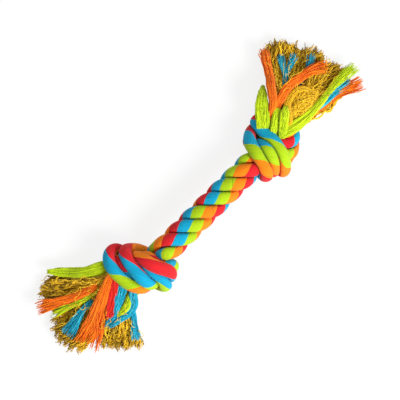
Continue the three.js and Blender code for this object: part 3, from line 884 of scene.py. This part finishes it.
def bundle_yarns(rows, widest, fray):
    """Yarns of one bundle along its rows: paths, radii and tones."""
    for row, before in zip(rows[1:], rows):
        if np.dot(row[WAY], before[WAY]) < 0:
            row[WAY] = [-value for value in row[WAY]]
    rows = curve_through(rows, COVER_RINGS)
    middle, half_width, half_thick = rows[:, PLACE], rows[:, WIDTH] / 2, rows[:, THICKNESS] / 2
    curl = np.maximum(rows[:, CURL], 0)
    tangents = unit(np.gradient(middle, axis=0))
    wide = unit(rows[:, WAY] - tangents * np.sum(rows[:, WAY] * tangents, axis=1, keepdims=True))
    high = np.cross(tangents, wide)
    share = np.linspace(0, 1, COVER_RINGS)

    count = round(COVER_YARNS + COVER_YARNS_BY_WIDTH * widest)
    whole = count + len(COVER_FILL)
    k = np.arange(count)
    out = (((k + 0.5) / count) ** COVER_OUTWARD)[:, None]
    turn = (k * GOLDEN_TURN + rng.uniform(-COVER_TURN_JITTER, COVER_TURN_JITTER, count))[:, None]
    ends_at = 1 - COVER_FRAY * fray * rng.uniform(0, 1, (whole, 1)) ** COVER_FRAY_POWER
    ends_at[count:] = 1 - COVER_FILL_FRAY * COVER_FRAY * fray
    at = share[None, :] * ends_at
    drift = FULL_TURN * rng.uniform(*COVER_DRIFT_RATES, (count, 1)) * at[:count]
    turn = turn + COVER_DRIFT * np.sin(drift + rng.uniform(0, ANY_PHASE, (count, 1)))
    loose = near_tip(at, COVER_LOOSE_FROM) * fray
    closing = 1 - (1 - fray) * COVER_CLOSES * near_tip(at, COVER_CLOSES_FROM)
    fill = np.tile(np.array(COVER_FILL)[:, None], COVER_RINGS)
    sideways = np.concatenate([out * np.cos(turn), fill])
    upward = np.concatenate([out * np.sin(turn), np.zeros_like(fill)])
    across = sideways * np.interp(at, share, half_width) * (1 + COVER_LOOSE_SPREAD * loose) * closing
    up = upward * np.interp(at, share, half_thick) * closing - np.interp(at, share, curl) * across**2 / 2
    paths = columns_at(at, share, middle) + across[..., None] * columns_at(at, share, wide)
    paths += up[..., None] * columns_at(at, share, high)
    waves = yarn_waves(whole, at, *COVER_WAVES)
    shifts = rng.normal(0, COVER_LOOSE_SHIFT, (whole, 1, 3)) * COVER_LOOSE_WAYS
    waves += shifts * (loose**2)[..., None]
    waves[count:] = 0.0
    paths += waves

    thick = np.clip(np.sqrt(COVER_YARN_PACKING * half_width * half_thick / count), *COVER_YARN_RADII)
    radii = np.interp(at, share, thick) * (1 - COVER_THIN * near_tip(share, COVER_THIN_FROM))
    filled = np.interp(at[count:], share, half_thick) * (COVER_FILL_SHARE - COVER_FILL_FRAYED * fray)
    thinned = 1 - COVER_FILL_THIN * fray * near_tip(share, COVER_FILL_THIN_FROM)
    radii[count:] = filled * closing[count:] * thinned
    tones = rng.normal(COVER_TONE, COVER_TONE_SPREAD + COVER_TONE_FRAYED * fray, (whole, 1))
    return paths, radii, np.broadcast_to(np.clip(tones, 0, 1), radii.shape)


def widest_of(part):
    return max(wide for *_, wide in part)


def cover_bundle(end, slot, colour, shape):
    """Loose cover bundle: it peels off the strand or comes out of the knot, and ends in a frayed tip."""
    node = f"tail_{end}_{slot}_{colour}"
    fray = FRAYS.get((end, slot, colour), 1.0)
    tail = TAIL_SHAPES[end, slot]
    lowest = np.mean([k for k, piece in enumerate(COLOURS) if isinstance(tail[piece], tuple)])
    peel = peeling_rows(*strand_end(end, slot), end, colour, lowest)
    if isinstance(shape, tuple):
        made = [bundle_yarns(peel + under_rows(end, node, *shape), max(shape[1]), fray)]
    else:
        made = []
        for part in shape:
            head = [] if part[0][0] < STRAND_END_OUT else [list(row) for row in peel]
            made.append(bundle_yarns(head + loose_rows(end, slot, part), widest_of(part), fray))
    return yarn_tubes(f"{node}_yarn", joined(made), YARNS[colour])


class CoreFan:
    """Middle line of a frayed core, from inside the strand's end to past its tip, and its size along it."""

    def __init__(self, end, slot, shape):
        strand, last = strand_end(end, slot)
        place, width = shape
        pivot = joint_place(f"lift_tail_{end}_{slot}")
        tip = plan_place(end, *place)
        inside = np.array([strand.route[last, 0] - CORE_DEPTH * SIDE[end], pivot[1], 0])
        start = np.array([pivot[0], pivot[1], 0])
        bend = start + SIDE[end] * CORE_BEND_SHARE * np.linalg.norm(tip - start) * ALONG
        t = np.linspace(0, CORE_PAST_TIP, CORE_PLAN_STEPS)[:, None]
        plan = np.concatenate([inside[None], (1 - t) ** 2 * start + 2 * t * (1 - t) * bend + t**2 * tip])
        self.spine = curve_through(plan, CORE_SPINE_STEPS)
        self.along = arc_lengths(self.spine)
        self.whole = self.along[np.argmin(np.linalg.norm(self.spine - tip, axis=1))]
        fan = smoothstep(np.linalg.norm(self.spine - start, axis=1) / CORE_DROP)
        fan[self.along < np.linalg.norm(start - inside)] = 0.0
        self.spine[:, 2] = (1 - fan) * pivot[2] + fan * CORE_TIP_HEIGHT / 2
        self.side = unit(np.cross(UP, np.gradient(self.spine, axis=0)))
        self.half_width = (1 - fan) * CORE_ROOT_RADIUS + fan * (width + CORE_SPREAD) / 2
        self.half_thick = (1 - fan) * CORE_ROOT_RADIUS + fan * CORE_TIP_HEIGHT / 2

    def height(self, at):
        return np.interp(at, self.along, self.half_thick)

    def sides(self, at):
        return columns_at(at, self.along, self.side)

    def places(self, at, across, up):
        """Places at ways along the core, at shares of its half width across it and at heights over it."""
        off = across * np.interp(at, self.along, self.half_width)
        return columns_at(at, self.along, self.spine) + off[..., None] * self.sides(at) + up[..., None] * UP


def core_plies(fan):
    """Plied yarns of a core: paths, radii and tones."""
    plies = np.arange(CORE_PLIES)
    stray = plies >= CORE_PLIES - CORE_STRAYS
    out = np.where(stray, 1.0, np.sqrt((plies + 0.5) / (CORE_PLIES - CORE_STRAYS)))
    turn = np.where(stray, rng.uniform(0, math.pi, CORE_PLIES), plies * GOLDEN_TURN)
    across, up = out * np.cos(turn), out * np.sin(turn)
    share = np.linspace(0, 1, CORE_RINGS)
    reach = CORE_LENGTH + rng.normal(0, CORE_LENGTH_SPREAD, CORE_PLIES)
    reach = reach - CORE_SIDE_SHORT * across**2 - CORE_TOP_SHORT * up**2
    at = share[None, :] * (fan.whole * np.clip(reach, *CORE_LENGTHS))[:, None]
    part = at / fan.whole
    paths = fan.places(at, across[:, None], up[:, None] * fan.height(at))
    waves = yarn_waves(CORE_PLIES, part, *CORE_WAVES)
    paths += waves * np.where(stray, CORE_STRAY_WAVES, 1.0)[:, None, None]
    tones = rng.normal(CORE_TONE, CORE_TONE_SPREAD, (CORE_PLIES, 1))
    tones = tones - CORE_DARK * near_tip(part, CORE_DARK_FROM)
    yarn = FULL_TURN * np.arange(PLY_YARNS)[:, None, None] / PLY_YARNS
    twist = yarn + FULL_TURN * at / PLY_TURN + rng.uniform(0, ANY_PHASE, (CORE_PLIES, 1))
    apart = PLY_RADIUS * (1 + PLY_OPENS * near_tip(part, PLY_OPENS_FROM))
    paths = paths + (apart * np.cos(twist))[..., None] * fan.sides(at)
    paths = (paths + (apart * np.sin(twist))[..., None] * UP).reshape(-1, CORE_RINGS, 3)
    count = len(paths)
    loose = np.tile(near_tip(part, CORE_LOOSE_FROM) ** 2, (PLY_YARNS, 1))
    paths += rng.normal(0, CORE_LOOSE_SHIFT, (count, 1, 3)) * loose[..., None]
    radii = CORE_YARN_RADIUS * rng.uniform(*CORE_YARN_SIZES, (count, 1))
    radii = radii * (1 - CORE_THIN * near_tip(share, CORE_THIN_FROM))
    tones = np.tile(tones, (PLY_YARNS, 1)) + rng.normal(0, CORE_YARN_TONES, (count, 1))
    return paths, radii, np.clip(tones, 0, 1)


def core_wisps(fan):
    """Thin stray threads that arch over a core: paths, radii and tones."""
    share = np.linspace(0, 1, CORE_RINGS)[None, :]
    each = (WISPS, 1)
    at = fan.whole * (rng.uniform(*WISP_STARTS, each) + rng.uniform(*WISP_LENGTHS, each) * share)
    across = rng.uniform(*WISP_SIDES, each)
    sway = rng.uniform(*WISP_SWAYS, each)
    across = across + sway * np.sin(rng.uniform(*WISP_SWAY_TURNS, each) * share)
    lift = rng.uniform(*WISP_LIFTS, each) * np.sin(WISP_ARCH * share) - WISP_SINK
    tones = np.broadcast_to(rng.uniform(*WISP_TONES, each), at.shape)
    paths = fan.places(at, across, fan.height(at) + lift)
    paths += yarn_waves(WISPS, np.broadcast_to(share, at.shape), WISP_WAVES)
    return paths, np.full(at.shape, WISP_RADIUS), tones


def core_tuft(end, slot, shape):
    """Frayed core: yarns that leave the strand's end together and fan out as the core's solid does."""
    fan = CoreFan(end, slot, shape)
    yarns = joined([core_plies(fan), core_wisps(fan)])
    return yarn_tubes(f"tail_{end}_{slot}_core_yarn", yarns, YARNS["core"])


def core_loops(end, slot, middle, reach, rim):
    """Curled yarns that lie in a nest of loops on a core, and its rim."""
    share = np.linspace(0, 1, COVER_RINGS)[None, :]
    each = (LOOPS, 1)
    turn = share * rng.uniform(*LOOP_TURNS, each) + rng.uniform(0, ANY_PHASE, each)
    size = rng.uniform(*LOOP_SIZES, each)
    swell = turn * rng.uniform(*LOOP_SWELL_RATES, each) + rng.uniform(0, ANY_PHASE, each)
    size = size * (1 + LOOP_SWELL * np.sin(swell))
    off = np.sqrt(rng.uniform(0, 1, each)) * (1 - size[:, :1])
    way = rng.uniform(0, ANY_PHASE, each)
    out = middle[0] + reach[0] * (off * np.cos(way) + LOOP_STRETCH * size * np.cos(turn))
    across = middle[1] + reach[1] * (off * np.sin(way) + size * np.sin(turn))
    from_middle = np.hypot(out - middle[0], across - middle[1]) / reach[0]
    base = plan_place(end, 0, 0)
    paths = np.stack([base[0] + SIDE[end] * out, base[1] + across, np.zeros_like(out)], axis=-1)
    paths[..., 2] = core_top(end, slot, paths) + LOOP_LIFT + rng.uniform(*LOOP_LIFTS, each)
    paths[..., 2] += LOOP_CROWN * (1 - np.clip(from_middle, 0, 1) ** 2)
    paths += yarn_waves(LOOPS, np.broadcast_to(share, out.shape), LOOP_WAVES)
    radii = np.full(out.shape, LOOP_YARN_RADIUS)
    tones = np.clip(rng.normal(LOOP_TONE, LOOP_TONE_SPREAD, each), 0, 1)
    loops = paths, radii, np.broadcast_to(tones, radii.shape)
    edge = bundle_yarns(loose_rows(end, slot, rim), widest_of(rim), NEST_FRAY)
    return yarn_tubes(f"tail_{end}_{slot}_loops_yarn", joined([loops, edge]), YARNS["core"])


for (end, slot), shapes in TAIL_SHAPES.items():
    strand, last = strand_end(end, slot)
    start = strand.route[last]
    finish = start.copy()
    finish[0] = joint_place(f"lift_tail_{end}_{slot}")[0] + BLEND_REACH * SIDE[end]
    for piece, shape in shapes.items():
        made = core_tuft(end, slot, shape) if piece == "core" else cover_bundle(end, slot, piece, shape)
        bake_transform(made)
        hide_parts(f"tail_{end}_{slot}_{piece}")
    if (end, slot) == NEST[:2]:
        made = core_loops(*NEST)
        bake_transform(made)


# Stage, in metres

AIM = Vector((ROPE_MIDDLE + np.array([0.4, 8.1, 0.0])) * MM)
VIEW_WIDTH = 0.2856
LENS = 200.0
SENSOR = 36.0
PICTURE_UP = Vector((0.701, 0.713, 0.0))
FLOOR_SIZE = 6.0
FLOOR_COLOUR = (0.86, 0.86, 0.86, 1.0)
FLOOR_ROUGHNESS = 0.9
FLOOR_WHITE = 0.82
WORLD_COLOUR = (1.0, 1.0, 1.0, 1.0)
WORLD_STRENGTH = 0.46
# Name, place, power and size of each light
LIGHTS = (
    ("key", (0.15, -1.15, 1.1), 34.0, 0.7),
    ("fill", (0.9, 0.6, 1.2), 5.0, 1.2),
)


def add_camera():
    data = bpy.data.cameras.new("camera")
    data.lens = LENS
    data.sensor_width = SENSOR
    camera = bpy.data.objects.new("camera", data)
    bpy.context.scene.collection.objects.link(camera)
    bpy.context.scene.camera = camera
    back = Vector(UP)
    right = PICTURE_UP.cross(back).normalized()
    turn = Matrix((right, back.cross(right), back)).transposed().to_4x4()
    distance = VIEW_WIDTH * LENS / SENSOR
    camera.matrix_world = Matrix.Translation(AIM + distance * back) @ turn


def add_floor():
    """A pale floor that shows white and keeps the shadow."""
    bpy.ops.mesh.primitive_plane_add(size=FLOOR_SIZE, location=(0.0, 0.0, 0.0))
    floor = bpy.context.object
    floor.name = "floor"
    material = bpy.data.materials.new("floor")
    material.use_nodes = True
    nodes, links = material.node_tree.nodes, material.node_tree.links
    shader = nodes["Principled BSDF"]
    shader.inputs["Base Color"].default_value = FLOOR_COLOUR
    shader.inputs["Roughness"].default_value = FLOOR_ROUGHNESS
    shader.inputs["Specular IOR Level"].default_value = 0.0
    glow = nodes.new("ShaderNodeEmission")
    rays = nodes.new("ShaderNodeLightPath")
    seen = rays.outputs["Is Camera Ray"]
    for other in ("Is Glossy Ray", "Is Transmission Ray"):
        either = nodes.new("ShaderNodeMath")
        either.operation = "MAXIMUM"
        links.new(seen, either.inputs[0])
        links.new(rays.outputs[other], either.inputs[1])
        seen = either.outputs[0]
    share = nodes.new("ShaderNodeMath")
    share.operation = "MULTIPLY"
    links.new(seen, share.inputs[0])
    share.inputs[1].default_value = FLOOR_WHITE
    mix = nodes.new("ShaderNodeMixShader")
    links.new(share.outputs[0], mix.inputs[0])
    links.new(shader.outputs[0], mix.inputs[1])
    links.new(glow.outputs[0], mix.inputs[2])
    links.new(mix.outputs[0], nodes["Material Output"].inputs["Surface"])
    floor.data.materials.append(material)


def add_light(name, place, power, size):
    data = bpy.data.lights.new(name, "AREA")
    data.energy = power
    data.size = size
    light = bpy.data.objects.new(name, data)
    bpy.context.scene.collection.objects.link(light)
    light.location = place
    light.rotation_euler = (AIM - Vector(place)).to_track_quat("-Z", "Y").to_euler()


def add_world():
    world = bpy.data.worlds.new("world")
    bpy.context.scene.world = world
    world.use_nodes = True
    background = world.node_tree.nodes["Background"]
    background.inputs["Color"].default_value = WORLD_COLOUR
    background.inputs["Strength"].default_value = WORLD_STRENGTH


add_camera()
add_floor()
add_world()
for light in LIGHTS:
    add_light(*light)
bpy.context.scene.view_settings.view_transform = "Standard"
